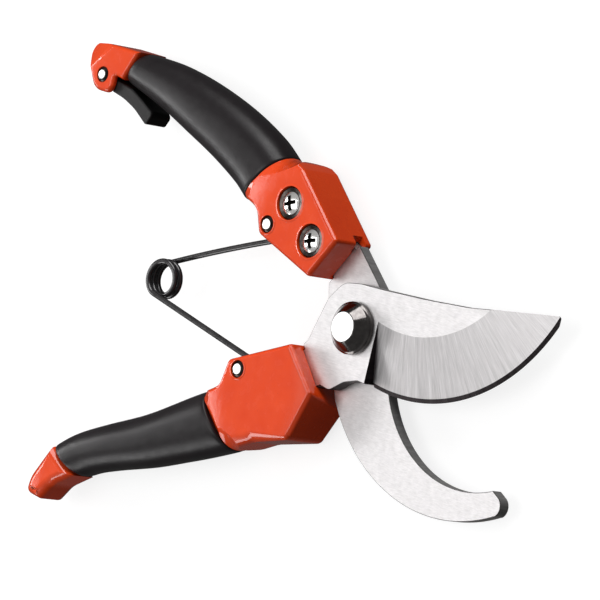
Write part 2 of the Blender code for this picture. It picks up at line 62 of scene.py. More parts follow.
# ---- joint centres and fasteners
UPPER_RIVET = (-39.9, 22.9)
LOWER_RIVET = (-38.2, -21.9)
LATCH_PIN = (-127.1, 53.1)
HOOK_SCREWS = ((-32.6, 31.0), (-20.9, 21.8))
BLADE_SCREWS = ((-20.5, -19.9), (-31.9, -29.7))
SCREW_HEAD_R, SCREW_R, POCKET_R = 4.7, 2.5, 5.2
RIVET_HEAD_R, RIVET_R = 2.55, 2.0

# ---- pivot
BOLT_R, BUSH_R, PIVOT_HEAD_R = 4.0, 5.0, 8.0

# ---- blades
EDGE_CENTRE, EDGE_R, GRIND_R, MICRO_R = (19.7, 45.1), 61.5, 42.3, 60.2
HEEL_X = 9.05
HOOK_IN = ((49.2, 1.1), 37.8)
HOOK_OUT = ((41.0, 9.4), 56.4)

# ---- spring
WIRE_R, COIL_R, EYE_R = 0.88, 5.35, 3.1
COIL = (-85.6, -3.3)
LEG_Z = (6.6, 11.5)
COIL_TURNS = 2
SLOT_HALF = 1.3



# ================================================================= helpers
def xy(centre, radius, angle):
    return (centre[0] + radius * cos(radians(angle)), centre[1] + radius * sin(radians(angle)))


def arc(centre, radius, start, end, count):
    return [xy(centre, radius, a) for a in np.linspace(start, end, count)]


def rounded(corners, steps=4):
    """A closed outline from (x, y, radius) corners, each corner turned into an arc."""
    out = []
    count = len(corners)
    for i, corner in enumerate(corners):
        x, y = corner[:2]
        radius = corner[2] if len(corner) > 2 else 0
        p = np.array(corners[i - 1][:2], float)
        n = np.array(corners[(i + 1) % count][:2], float)
        c = np.array((x, y), float)
        if radius <= 0:
            out.append((x, y))
            continue
        u, v = p - c, n - c
        lu, lv = np.linalg.norm(u), np.linalg.norm(v)
        u, v = u / lu, v / lv
        angle = np.arccos(np.clip(u @ v, -1, 1))
        if angle > radians(176):
            out.append((x, y))
            continue
        reach = min(radius / np.tan(angle / 2), 0.48 * lu, 0.48 * lv)
        radius = reach * np.tan(angle / 2)
        centre = c + (u + v) / np.linalg.norm(u + v) * radius / np.sin(angle / 2)
        a, b = c + u * reach, c + v * reach
        a0 = atan2(*(a - centre)[::-1])
        turn = (atan2(*(b - centre)[::-1]) - a0 + pi) % (2 * pi) - pi
        number = max(2, int(np.ceil(steps * abs(turn) / (pi / 2))) + 1)
        for t in np.linspace(0, 1, number):
            out.append((centre[0] + radius * cos(a0 + turn * t), centre[1] + radius * sin(a0 + turn * t)))
    return out


def ccw(outline):
    p = np.array(outline, float)
    q = np.roll(p, -1, 0)
    return p if (p[:, 0] * q[:, 1] - q[:, 0] * p[:, 1]).sum() > 0 else p[::-1]


def inset(outline, distance):
    """The counter-clockwise outline moved inwards by a distance (outwards when negative)."""
    p = ccw(outline)
    before, after = p - np.roll(p, 1, 0), np.roll(p, -1, 0) - p
    before /= np.linalg.norm(before, axis=1)[:, None]
    after /= np.linalg.norm(after, axis=1)[:, None]
    n1 = np.c_[-before[:, 1], before[:, 0]]
    n2 = np.c_[-after[:, 1], after[:, 0]]
    n = n1 + n2
    n /= (n * n1).sum(1)[:, None]
    return p + n * distance


def add(name, points, faces, smooth=None):
    mesh = bpy.data.meshes.new(name)
    mesh.from_pydata([tuple(float(v) for v in p) for p in points], [], [tuple(f) for f in faces])
    bm = bmesh.new()
    bm.from_mesh(mesh)
    bmesh.ops.remove_doubles(bm, verts=bm.verts, dist=1e-4)
    bmesh.ops.recalc_face_normals(bm, faces=bm.faces)
    bm.to_mesh(mesh)
    bm.free()
    obj = bpy.data.objects.new(name, mesh)
    bpy.context.scene.collection.objects.link(obj)
    if smooth is not None:
        for face in mesh.polygons:
            face.use_smooth = True
        mesh.set_sharp_from_angle(angle=radians(smooth))
    return obj


def rings(name, loops, smooth=35, closed=False):
    """A body through closed loops of equal length, capped at both ends, or joined end to end when closed."""
    loops = [np.array(loop, float) for loop in loops]
    size = len(loops[0])
    points = np.concatenate(loops)
    faces = []
    last = len(loops) if closed else len(loops) - 1
    for k in range(last):
        a, b = k * size, ((k + 1) % len(loops)) * size
        for i in range(size):
            j = (i + 1) % size
            faces.append((a + i, a + j, b + j, b + i))
    if not closed:
        faces.append(tuple(range(size))[::-1])
        faces.append(tuple((len(loops) - 1) * size + i for i in range(size)))
    return add(name, points, faces, smooth)


def prism(name, outline, low, high, round_edge=0.0, smooth=35):
    """The outline stood up between two levels, with its rim rounded."""
    p = ccw(outline)
    steps = [(0.0, 0.0)]
    if round_edge:
        steps = [(round_edge * (1 - sin(a)), round_edge * (1 - cos(a))) for a in np.linspace(0, pi / 2, 3)]
    loops = []
    for sideways, upwards in steps:
        q = inset(p, sideways) if sideways else p
        loops.append(np.c_[q, np.full(len(q), low + upwards)])
    for sideways, upwards in steps[::-1]:
        q = inset(p, sideways) if sideways else p
        loops.append(np.c_[q, np.full(len(q), high - upwards)])
    return rings(name, loops, smooth)


def turned(name, centre, profile, count=48, smooth=35):
    """A body of revolution about Z through the centre; the profile is (radius, z) and starts and ends on the axis or closes on itself."""
    on_axis = profile[0][0] == 0 and profile[-1][0] == 0
    inner = profile[1:-1] if on_axis else profile
    angles = np.linspace(0, 2 * pi, count, endpoint=False)
    loops = [[(centre[0] + r * cos(a), centre[1] + r * sin(a), z) for a in angles] for r, z in inner]
    return rings(name, loops, smooth, closed=not on_axis)


def volume(mesh):
    bm = bmesh.new()
    bm.from_mesh(mesh)
    amount = abs(bm.calc_volume())
    bm.free()
    return amount


def evaluated(obj, other, operation, solver):
    before, tool = volume(obj.data), volume(other.data)
    modifier = obj.modifiers.new(other.name, "BOOLEAN")
    modifier.operation = operation
    modifier.solver = solver
    modifier.object = other
    graph = bpy.context.evaluated_depsgraph_get()
    graph.update()
    mesh = bpy.data.meshes.new_from_object(obj.evaluated_get(graph))
    obj.modifiers.clear()
    bm = bmesh.new()
    bm.from_mesh(mesh)
    bmesh.ops.remove_doubles(bm, verts=bm.verts, dist=2e-4)
    bmesh.ops.dissolve_degenerate(bm, edges=bm.edges, dist=2e-4)
    sound = len(bm.faces) > 3 and all(len(e.link_faces) == 2 for e in bm.edges)
    after = abs(bm.calc_volume())
    slack = 0.002 * before
    if operation == "UNION":
        sound = sound and max(before, tool) - slack <= after <= before + tool + slack
    elif operation == "DIFFERENCE":
        sound = sound and before - tool - slack <= after <= before + slack
    else:
        sound = sound and 0.3 * min(before, tool) <= after <= min(before, tool) + slack
    bm.to_mesh(mesh)
    bm.free()
    return mesh, sound


def boolean(obj, other, operation="DIFFERENCE"):
    """Cuts or joins by a Boolean, exact first, keeps the result as the object's mesh and drops the other body."""
    mesh, sound = evaluated(obj, other, operation, "EXACT")
    if not sound:
        mesh, sound = evaluated(obj, other, operation, "MANIFOLD")
    if not sound:
        print("CHECK", obj.name, other.name, operation)
    obj.data = mesh
    bpy.data.objects.remove(other, do_unlink=True)


def drill(obj, centre, radius, low, high, count=48):
    boolean(obj, turned("cut", centre, [(0, low), (radius, low), (radius, high), (0, high)], count))


def section(centre, e_angle, width, thick, count=28, power=2.7, z=MID):
    """A rounded-rectangle loop in the plane that holds Z and the direction e_angle."""
    ex, ey = cos(radians(e_angle)), sin(radians(e_angle))
    loop = []
    for a in np.linspace(0, 2 * pi, count, endpoint=False):
        c, s = cos(a), sin(a)
        u = width / 2 * np.sign(c) * abs(c) ** (2 / power)
        w = thick / 2 * np.sign(s) * abs(s) ** (2 / power)
        loop.append((centre[0] + u * ex, centre[1] + u * ey, z + w))
    return loop


def smooth_stations(stations, count):
    """Stations (x, y, direction, width, thickness) resampled along a Catmull-Rom curve."""
    s = np.array(stations, float)
    s = np.vstack([2 * s[0] - s[1], s, 2 * s[-1] - s[-2]])
    out = []
    for t in np.linspace(0, len(stations) - 1, count):
        i = min(int(t), len(stations) - 2)
        f = t - i
        p0, p1, p2, p3 = s[i], s[i + 1], s[i + 2], s[i + 3]
        out.append(0.5 * (2 * p1 + (p2 - p0) * f + (2 * p0 - 5 * p1 + 4 * p2 - p3) * f**2 + (3 * p1 - p0 - 3 * p2 + p3) * f**3))
    return out


def fan(name, centre, radius, start, end, reach, low, high):
    """A slot cutter: a round end about the centre that opens out between two directions."""
    outline = arc(centre, radius, end + 90, start + 270, 14)
    a, b = xy(centre, reach, start), xy(centre, reach, end)
    outline += [xy(a, radius, start - 90)] + arc(centre, reach, start, end, 6) + [xy(b, radius, end + 90)]
    return prism(name, outline, low, high)


WALL = 2.0
GRIP_POWER = 2.25
TAIL_TOP, TAIL_LOW = MID + TAIL_THICK / 2, MID - TAIL_THICK / 2


# ================================================================= finer meshes
def bevelled(obj, width, steps=2, angle=32):
    """Rounds the edges that a cut left sharp."""
    modifier = obj.modifiers.new("ease", "BEVEL")
    modifier.width = width
    modifier.segments = steps
    modifier.limit_method = "ANGLE"
    modifier.angle_limit = radians(angle)
    modifier.use_clamp_overlap = True
    modifier.harden_normals = False
    graph = bpy.context.evaluated_depsgraph_get()
    graph.update()
    mesh = bpy.data.meshes.new_from_object(obj.evaluated_get(graph))
    obj.modifiers.clear()
    obj.data = mesh
    shade(obj, 42)
    return obj


def shade(obj, angle=35):
    """Smooth shading with real edges left sharp and broad faces kept flat."""
    for face in obj.data.polygons:
        face.use_smooth = True
    obj.data.set_sharp_from_angle(angle=radians(angle))
    modifier = obj.modifiers.new("flat", "WEIGHTED_NORMAL")
    modifier.keep_sharp = True
    modifier.weight = 80
    graph = bpy.context.evaluated_depsgraph_get()
    graph.update()
    mesh = bpy.data.meshes.new_from_object(obj.evaluated_get(graph))
    obj.modifiers.clear()
    obj.data = mesh
    return obj


def paint(obj, looks, rule=None):
    """Gives the mesh its materials; rule picks one from a face's centre and normal, in millimetres."""
    obj.data.materials.clear()
    for look in looks:
        obj.data.materials.append(look)
    for face in obj.data.polygons:
        face.material_index = rule(face.center, face.normal) if rule else 0


def soft_prism(name, outline, low, high, radius, steps=5, smooth=40, grow=None):
    """The outline stood up between two levels with a round rim; grow(x, y) scales the rim's radius at a point."""
    p = ccw(outline)
    r = np.array([radius * (grow(*q) if grow else 1.0) for q in p])
    reach = inset(p, 1.0) - p
    loops = []
    for a in np.linspace(0, pi / 2, steps + 1):
        q = p + reach * (r * (1 - sin(a)))[:, None]
        loops.append(np.c_[q, low + r * (1 - cos(a))])
    for a in np.linspace(pi / 2, 0, steps + 1):
        q = p + reach * (r * (1 - sin(a)))[:, None]
        loops.append(np.c_[q, high - r * (1 - cos(a))])
    return rings(name, loops, smooth)


def near(point, inner, outer, most):
    """A factor that is most within inner of a point and falls to 1 at outer."""

    def factor(x, y):
        t = min(1.0, max(0.0, (outer - ((x - point[0]) ** 2 + (y - point[1]) ** 2) ** 0.5) / (outer - inner)))
        return 1 + (most - 1) * t * t * (3 - 2 * t)

    return factor


def lip(centre, radius, level, rise, width):
    """A low round-topped ring on a face."""
    profile = [(0, level - 3.0)]
    profile += [(radius + width - (width - 0.2) * a, level - 0.12 + (rise + 0.12) * sin(a * pi / 2)) for a in np.linspace(0, 1, 6)]
    profile = profile[:1] + [(radius + width, level - 3.0)] + profile[1:] + [(0, level + rise)]
    return turned("lip", centre, profile, 72, 60)


UPPER_STATIONS = [
    (-49.3, 35.6, 51.0, 21.0, 17.0),
    (-57.0, 40.4, 58.0, 20.6, 17.0),
    (-70.0, 46.0, 68.0, 19.6, 16.8),
    (-85.0, 50.9, 73.0, 18.0, 16.2),
    (-100.0, 54.9, 74.0, 15.2, 14.8),
    (-115.3, 57.6, 64.0, 11.9, 13.3),
]
LOWER_STATIONS = [
    (-45.8, -39.3, 136.3, 22.0, 17.0),
    (-62.0, -46.9, 118.0, 18.6, 16.6),
    (-75.0, -52.8, 112.5, 16.6, 16.0),
    (-90.0, -58.4, 111.5, 14.8, 15.0),
    (-100.0, -62.6, 122.0, 14.0, 14.0),
    (-107.3, -66.9, 150.7, 14.6, 13.3),
]
UPPER_HEAD = [
    (-10.2, 24.1, 1.2), (-18.6, 11.1, 1.6), (-43.1, 19.4, 2.5), (-46.4, 26.6, 5.0),
    (-55.4, 30.0, 2.0), (-42.2, 44.1, 1.5), (-34.2, 43.6, 4.0), (-30.8, 42.0, 3.0),
]
LOWER_HEAD = [
    (-19.3, -9.5, 1.2), (-6.3, -21.8, 1.2), (-11.8, -37.6, 3.0), (-27.0, -41.8, 10.0), (-37.4, -46.9, 1.0),
    (-52.0, -32.6, 1.5), (-45.0, -28.2, 4.0), (-43.4, -19.9, 2.0),
]
UPPER_TAIL = [
    (-113.2, 62.9), (-126.0, 63.15, 20), (-138.85, 61.8, 3.0), (-130.0, 47.9, 5.0),
    (-122.0, 47.9, 4.8), (-121.9, 53.7, 0.4), (-117.9, 53.1),
]
LOWER_TAIL = [
    (-113.2, -64.1), (-116.4, -69.6, 9), (-119.6, -75.2, 9), (-120.2, -80.6, 2.2), (-113.9, -81.35, 0.8), (-109.6, -75.8, 9), (-101.5, -70.7),
]


def neck(stations, forward):
    """An envelope that lets a head block round off towards the grip's oval end."""
    x, y, e, w, h = stations[0]
    d = (cos(radians(e - 90)), sin(radians(e - 90)))
    if (d[0] * forward[0] + d[1] * forward[1]) < 0:
        d = (-d[0], -d[1])
    loops = []
    for reach in (0.25, 1.0, 2.0, 3.0, 4.2, 5.6, 7.2, 9.0, 12.0, 16.0, 70.0):
        wide = w + 0.1 + 0.50 * min(reach, 16.0) ** 1.75
        thick = h - 0.6 + 0.045 * min(reach, 16.0) ** 2.35 + 0.12 * reach
        loops.append(section((x + d[0] * reach, y + d[1] * reach), e, wide, thick, 96, GRIP_POWER))
    return rings("neck", loops, 60)


def core(stations, count, head_reach, tail_reach, segments=48):
    smooth = smooth_stations(stations, count)
    shrink = 2 * (WALL + GAP)
    first, last = smooth[0].copy(), smooth[-1].copy()
    for end, towards, reach in ((first, smooth[0] - smooth[1], head_reach), (last, smooth[-1] - smooth[-2], tail_reach)):
        end[:2] += towards[:2] / np.linalg.norm(towards[:2]) * reach
    return rings("core", [section(s[:2], s[2], s[3] - shrink, s[4] - shrink, segments, GRIP_POWER) for s in [first, *smooth, last]])


def corner_cut(name, a, b, reach, drop, level, up):
    a, b = np.array(a, float), np.array(b, float)
    u = (b - a) / np.linalg.norm(b - a)
    left = np.array((-u[1], u[0]))
    a, b = a - u * 12, b + u * 12
    loops = []
    for p in (a, b):
        q = p + left * reach
        s = 1 if up else -1
        loops.append([(p[0] - left[0], p[1] - left[1], level + s * drop / reach), (q[0], q[1], level - s * drop), (q[0], q[1], level + s * 3), (p[0] - left[0], p[1] - left[1], level + s * 3)])
    return rings(name, loops)


def smooth_outline(corners, steps=8):
    return rounded(corners, steps)


# ---- upper casting
upper = soft_prism("paint_upper", smooth_outline(UPPER_HEAD), BACK, FRONT, 1.4)
boolean(upper, neck(UPPER_STATIONS, (1, -1)), "INTERSECT")
for centre in HOOK_SCREWS:
    boolean(upper, lip(centre, POCKET_R - 0.15, FRONT, 0.22, 1.1), "UNION")
boolean(upper, lip(UPPER_RIVET, RIVET_HEAD_R + 0.15, FRONT, 0.2, 0.8), "UNION")
boolean(upper, core(UPPER_STATIONS, 18, 9.0, 5.0), "UNION")
tail = soft_prism("tail", smooth_outline(UPPER_TAIL), TAIL_LOW, TAIL_TOP, 1.3)
boolean(tail, corner_cut("slope", (-132.3, 54.3), (-126.6, 61.0), 12.0, 5.2, TAIL_TOP, True))
boolean(tail, corner_cut("slope", (-132.3, 54.3), (-126.6, 61.0), 12.0, 5.2, TAIL_LOW, False))
boolean(upper, tail, "UNION")
mouth = [(-33.9, 39.0, 2.0), (-17.5, 26.1, 3.0), (-11.2, 22.6), (-4.8, 18.4), (-11.2, 8.4), (-17.6, 12.6), (-24.3, 17.5, 3.0), (-40.7, 30.4, 2.0)]
boolean(upper, prism("pocket", inset(rounded(mouth), -GAP), HOOK_Z[0] - 0.2, HOOK_Z[1] + 0.2))
boolean(upper, prism("notch", [(-12.3, 26.9), (-15.0, 23.0), (-9.4, 20.0), (-5.0, 23.0), (-8.0, 29.0)], HOOK_Z[0] + 0.3, HOOK_Z[1] + 0.9))
for centre in HOOK_SCREWS:
    drill(upper, centre, POCKET_R, 13.0, 20.0, 72)
drill(upper, UPPER_RIVET, RIVET_HEAD_R + 0.2, 15.2, 20.0, 48)
drill(upper, UPPER_RIVET, RIVET_HEAD_R + 0.2, -1.0, 2.6, 48)
boolean(upper, fan("slot", UPPER_RIVET, 4.4, 163, 213, 18.0, LEG_Z[0] - SLOT_HALF, LEG_Z[0] + SLOT_HALF))
ears = rounded([(-121.4, 58.4, 5.4), (-121.4, 54.0), (-112.0, 52.0), (-112.0, 30.0), (-160.0, 30.0), (-160.0, 47.0), (-131.0, 58.4, 5.4)], 8)
boolean(upper, prism("ears", ears, MID - LATCH_THICK / 2 - GAP, MID + LATCH_THICK / 2 + GAP))
drill(upper, LATCH_PIN, RIVET_HEAD_R, 14.6, 20.0, 48)
drill(upper, LATCH_PIN, RIVET_HEAD_R, -1.0, 3.5, 48)
drill(upper, LATCH_PIN, RIVET_R + 0.15, -1.0, 20.0, 32)
bevelled(upper, 0.22)

# ---- lower casting
lower = soft_prism("paint_lower", smooth_outline(LOWER_HEAD), BACK, FRONT, 1.4, 6, 40, near((-34.0, -45.5), 13.0, 22.5, 2.5))
for vertex in lower.data.vertices:
    # the end wall's draft: its corner falls away towards the back
    if (vertex.co.x + 6.9) ** 2 + (vertex.co.y + 21.8) ** 2 < 9:
        vertex.co.y -= 4.6 * (FRONT - vertex.co.z) / (FRONT - BACK)
boolean(lower, neck(LOWER_STATIONS, (1, 1)), "INTERSECT")
boolean(lower, lip(LOWER_RIVET, RIVET_HEAD_R + 0.15, FRONT, 0.2, 0.8), "UNION")
boolean(lower, core(LOWER_STATIONS, 18, 9.0, 5.0), "UNION")
boolean(lower, soft_prism("tail", smooth_outline(LOWER_TAIL), TAIL_LOW, TAIL_TOP, 3.0, 7), "UNION")
mouth = [(-32.7, -37.2, 2.0), (-17.1, -23.8, 3.0), (-8.6, -19.6), (-4.4, -15.2), (-13.8, -6.3), (-18.0, -10.7), (-23.9, -16.0, 3.0), (-39.5, -29.4, 2.0)]
boolean(lower, prism("pocket", inset(rounded(mouth), -GAP), BLADE_Z[0] - 0.2, BLADE_Z[1] + 0.2))
for centre in BLADE_SCREWS:
    drill(lower, centre, POCKET_R, -1.0, 5.1, 72)
drill(lower, LOWER_RIVET, RIVET_HEAD_R + 0.2, 15.2, 20.0, 48)
drill(lower, LOWER_RIVET, RIVET_HEAD_R + 0.2, -1.0, 2.6, 48)
boolean(lower, fan("slot", LOWER_RIVET, 4.4, 154, 205, 18.0, LEG_Z[1] - SLOT_HALF, LEG_Z[1] + SLOT_HALF))
bevelled(lower, 0.22)


# ---- grips
def grip(name, stations, count=60, segments=72):
    smooth = smooth_stations(stations, count)
    outer, inner = [], []
    ease = [(0.0, 0.9), (0.12, 0.45), (0.4, 0.15), (1.0, 0.0)]
    head = np.array(stations[0][:2]) - np.array(stations[1][:2])
    for k, s in enumerate(smooth):
        outer.append(section(s[:2], s[2], s[3], s[4], segments, GRIP_POWER))
        inner.append(section(s[:2], s[2], s[3] - 2 * WALL, s[4] - 2 * WALL, segments, GRIP_POWER))
    front, back = [], []
    for along, less in ease[:-1]:
        for end, nxt, keep in ((smooth[0], smooth[1], front), (smooth[-1], smooth[-2], back)):
            t = along / max(1e-6, float(np.linalg.norm(nxt[:2] - end[:2])))
            s = end + (nxt - end) * t
            keep.append(section(s[:2], s[2], s[3] - less * 2 * 0.6, s[4] - less * 2 * 0.6, segments, GRIP_POWER))
    outer = front + outer[1:-1] + back[::-1]
    return rings(name, outer + inner[::-1], 50, closed=True)


upper_grip = grip("sleeve_upper", UPPER_STATIONS)
lower_grip = grip("sleeve_lower", LOWER_STATIONS)

# ---- hook blade
hook_outline = [(-33.9, 39.0, 2.0), (-17.5, 26.1, 3.0), (-11.2, 22.6), (-10.86, 22.38), (-9.9, 23.9, 0.6), (2.8, 13.2, 6.0), (9.4, 8.4, 4.0)]
hook_outline += arc(*HOOK_IN, 179, 293.5, 90)
hook_outline += arc((65.1, -37.9), 3.45, 66, -52, 14)[1:]
hook_outline += arc(*HOOK_OUT, 297.0, 214.6, 80)
hook_outline += [(-6.5, -20.3, 1.0), (-10.0, -15.3, 4.0), (-14.2, -8.0, 8.0), (-16.0, 0.0, 10.0), (-17.6, 6.5, 6.0), (-18.7, 10.4, 0.6), (-17.26, 12.38), (-17.6, 12.6), (-24.3, 17.5, 3.0), (-40.7, 30.4, 2.0)]
hook = soft_prism("plate_hook", rounded(hook_outline, 7), *HOOK_Z, 0.20, 2, 30)
for centre in HOOK_SCREWS:
    drill(hook, centre, SCREW_R + 0.2, 0, 20, 32)
drill(hook, (0, 0), BOLT_R + 0.06, 0, 20, 64)
shade(hook, 30)

# ---- cutting blade
SPINE = [(-15.3, -0.5, 12.0), (-13.0, 6.6, 6.0), (-8.2, 12.4, 6.0), (-1.0, 13.5, 8.0), (8.0, 13.7, 20.0), (25.3, 14.6, 40.0), (43.4, 16.1, 40.0), (58.8, 18.5, 30.0), (75.0, 20.95, 0.8)]
blade_outline = [(-39.5, -29.4, 2.0), (-23.9, -16.0, 3.0), (-18.0, -10.7), (-17.73, -10.41), (-19.0, -9.2, 0.5), (-17.4, -7.6, 1.0)] + SPINE
blade_outline += arc(EDGE_CENTRE, EDGE_R + 1.0, -27.75, -99.6, 80)
blade_outline += [(HEEL_X + 0.3, -14.95), (6.1, -14.7, 3.0), (0.8, -16.4, 4.0), (-4.2, -20.0, 3.0), (-7.7, -19.5, 0.6), (-8.33, -19.31), (-8.6, -19.6), (-17.1, -23.8, 3.0), (-32.7, -37.2, 2.0)]
blade = soft_prism("plate_cutting", rounded(blade_outline, 8), *BLADE_Z, 0.20, 2, 30)
for centre in BLADE_SCREWS:
    drill(blade, centre, SCREW_R + 0.2, 0, 20, 32)
drill(blade, (0, 0), BUSH_R + 0.07, 0, 20, 64)
low, high = BLADE_Z
slope = (high - (low + 0.6)) / (MICRO_R - GRIND_R)
micro = 0.6 / (EDGE_R - MICRO_R)
grind = [
    (GRIND_R - 1.2 / slope, high + 1.2), (MICRO_R, low + 0.6), (EDGE_R, low), (EDGE_R + 1.6, low - 1.6 * micro), (EDGE_R + 30, low - 1.6 * micro), (EDGE_R + 30, high + 1.2),
]
sweep = np.linspace(radians(245), radians(377), 240)
loops = [[(EDGE_CENTRE[0] + r * cos(a), EDGE_CENTRE[1] + r * sin(a), z) for r, z in grind] for a in sweep]
ground = rings("ground", loops)
boolean(ground, prism("side", [(HEEL_X, -80), (140, -80), (140, 60), (HEEL_X, 60)], low - 3, high + 3), "INTERSECT")
boolean(blade, ground)
shade(blade, 4)


# ---- screws, rivets
HEAD_R, DOME_R, RIM = 4.95, 3.45, 3.25
def cross_outline(centre, turn, reach, half, fillet):
    pts = []
    for k in range(4):
        for along, across in ((reach, -half), (reach, half), (half, half)):
            a = radians(90 * k + turn)
            r = fillet if along == reach else fillet * 0.9
            pts.append((centre[0] + along * cos(a) - across * sin(a), centre[1] + along * sin(a) + across * cos(a), r))
    return rounded(pts, 3)


def screw(name, centre, base, tip, facing, turn, rim):
    s = facing
    r = HEAD_R
    profile = [(0, tip), (SCREW_R - 0.5, tip), (SCREW_R, tip + 0.5 * s)]
    # thread turns as close-set grooves
    z = tip + 0.9 * s
    while (base - z) * s > 1.2:
        profile += [(SCREW_R, z), (SCREW_R - 0.22, z + 0.2 * s), (SCREW_R - 0.22, z + 0.3 * s), (SCREW_R, z + 0.5 * s)]
        z += 0.8 * s
    profile += [(SCREW_R, base), (r - 0.1, base), (r, base + 0.1 * s), (r, base + rim * s), (r - 0.10, base + (rim + 0.22) * s), (r - 0.28, base + (rim + 0.30) * s)]
    profile += [(r - 0.9, base + (rim + 0.18) * s), (DOME_R + 0.08, base + (rim + 0.10) * s), (DOME_R, base + (rim + 0.22) * s)]
    for a in np.linspace(0.0, 1.0, 11)[1:]:
        q = DOME_R * (1 - a)
        profile.append((max(q, 0.0), base + (rim + 0.22 + 0.85 * (1 - (q / DOME_R) ** 2)) * s))
    obj = turned(name, centre, profile, 64, 40)
    top = cross_outline(centre, turn, 2.35, 0.62, 0.25)
    deep = [(centre[0] + (x - centre[0]) * 0.56, centre[1] + (y - centre[1]) * 0.56) for x, y in top]
    levels = [(base + (rim + 2.0) * s, top), (base + (rim + 0.2) * s, top), (base + (rim - 1.5) * s, deep)]
    loops = [np.c_[np.array(o), np.full(len(o), z)] for z, o in levels]
    boolean(obj, rings("recess", loops))
    shade(obj, 30)
    return obj


def rivet(name, centre, low, high, r, seat):
    shank = RIVET_R
    profile = [(0, low), (r - 0.55, low), (r - 0.1, low + 0.35), (r, low + 0.6), (r, low + 1.2), (shank, low + 1.2), (shank, high - seat), (r, high - seat)]
    profile += [(r, high - 0.75), (r - 0.12, high - 0.5), (r - 0.75, high - 0.06), (r - 0.95, high), (0, high)]
    return turned(name, centre, profile, 64, 25)


hook_screws = [screw("screw_hook_1", HOOK_SCREWS[0], 13.3, 2.2, 1, 22, RIM), screw("screw_hook_2", HOOK_SCREWS[1], 13.3, 2.2, 1, 17, RIM)]
blade_screws = [screw("screw_blade_1", BLADE_SCREWS[0], 4.8, 15.4, -1, 40, RIM), screw("screw_blade_2", BLADE_SCREWS[1], 4.8, 15.4, -1, 63, RIM)]
rivet_upper = rivet("rivet_upper", UPPER_RIVET, 0.6, 17.7, RIVET_HEAD_R, 2.0)
rivet_lower = rivet("rivet_lower", LOWER_RIVET, 0.6, 17.7, RIVET_HEAD_R, 2.0)
rivet_latch = rivet("rivet_latch", LATCH_PIN, TAIL_LOW - 0.3, TAIL_TOP + 0.4, RIVET_HEAD_R - 0.2, 1.0)

# ---- catch
LATCH = [
    (-122.6, 52.6, 0.6), (-114.6, 51.0, 6.0), (-109.0, 48.3, 4.0), (-103.2, 45.2, 1.6), (-105.4, 41.1, 1.0),
    (-112.1, 45.2, 12.0), (-117.8, 47.4, 12.0), (-124.0, 48.7, 1.0),
]
catch = soft_prism("catch_arm", rounded(LATCH, 8), MID - LATCH_THICK / 2, MID + LATCH_THICK / 2, 0.55, 4)
boolean(catch, turned("eye", LATCH_PIN, [(0, MID - 4.36), (4.6, MID - 4.36), (4.6, MID + 4.36), (0, MID + 4.36)], 64), "UNION")
drill(catch, LATCH_PIN, RIVET_R + 0.06, -1.0, 20.0, 48)
bevelled(catch, 0.12)

# ---- pivot
profile = [(0, 1.2), (BOLT_R - 0.5, 1.2), (BOLT_R, 1.7), (BOLT_R, 12.1), (PIVOT_HEAD_R - 0.25, 12.1), (PIVOT_HEAD_R - 0.05, 12.2), (PIVOT_HEAD_R, 12.45)]
profile += [(PIVOT_HEAD_R, 13.35), (PIVOT_HEAD_R - 0.08, 13.6), (PIVOT_HEAD_R - 0.3, 13.8), (7.35, 14.05), (4.95, 16.75), (4.7, 17.0), (4.45, HEAD_TOP), (0, HEAD_TOP)]
bolt = turned("bolt_pivot", (0, 0), profile, 160, 12)
bush = turned("bush_pivot", (0, 0), [(BOLT_R + 0.06, 7.75), (BOLT_R + 0.16, 7.65), (BUSH_R - 0.1, 7.65), (BUSH_R, 7.75), (BUSH_R, 11.85), (BUSH_R - 0.1, 11.95), (BOLT_R + 0.16, 11.95), (BOLT_R + 0.06, 11.85)], 96)
washer = turned("washer_pivot", (0, 0), [(4.3, 3.1), (4.4, 3.05), (7.1, 3.18), (7.2, 3.25), (7.2, 3.45), (7.1, 3.5), (4.4, 3.37), (4.3, 3.3)], 96)
hexagon = [xy((0, 0), 6.5 / cos(pi / 6), 60 * k) for k in range(6)]
nut = prism("nut_pivot", hexagon, 0.0, 2.9)
crown = turned("crown", (0, 0), [(0, -0.2), (6.35, -0.2), (6.35, 0.0), (7.7, 0.75), (7.7, 4), (0, 4)], 96)
boolean(nut, crown, "INTERSECT")
drill(nut, (0, 0), BOLT_R + 0.06, 1.0, 6.0, 64)
bevelled(nut, 0.1)


# ---- spring: one wire
def inner_tangent(a, ra, b, rb):
    a, b = np.array(a, float), np.array(b, float)
    d = b - a
    angle = atan2(d[1], d[0]) - np.arcsin((ra + rb) / np.linalg.norm(d))
    u = np.array((cos(angle), sin(angle)))
    left = np.array((-u[1], u[0]))
    return a + ra * left, b - rb * left


def tube(name, path, radius, count=20):
    path = np.array(path, float)
    tangent = np.gradient(path, axis=0)
    tangent /= np.linalg.norm(tangent, axis=1)[:, None]
    side = np.cross(tangent[0], (0, 0, 1.0))
    loops = []
    total = len(path)
    for k, (p, t) in enumerate(zip(path, tangent)):
        side = side - t * (side @ t)
        side /= np.linalg.norm(side)
        up = np.cross(t, side)
        r = radius * (0.72 if k in (0, total - 1) else 1.0)
        loops.append([p + r * (cos(a) * side + sin(a) * up) for a in np.linspace(0, 2 * pi, count, endpoint=False)])
    return rings(name, loops, 60)


def eye_path(centre, end, z, turn, sweep=282, count=40):
    a = degrees(atan2(end[1] - centre[1], end[0] - centre[0]))
    return [(*xy(centre, EYE_R, a - turn * sweep * (1 - t)), z) for t in np.linspace(0, 1, count)]


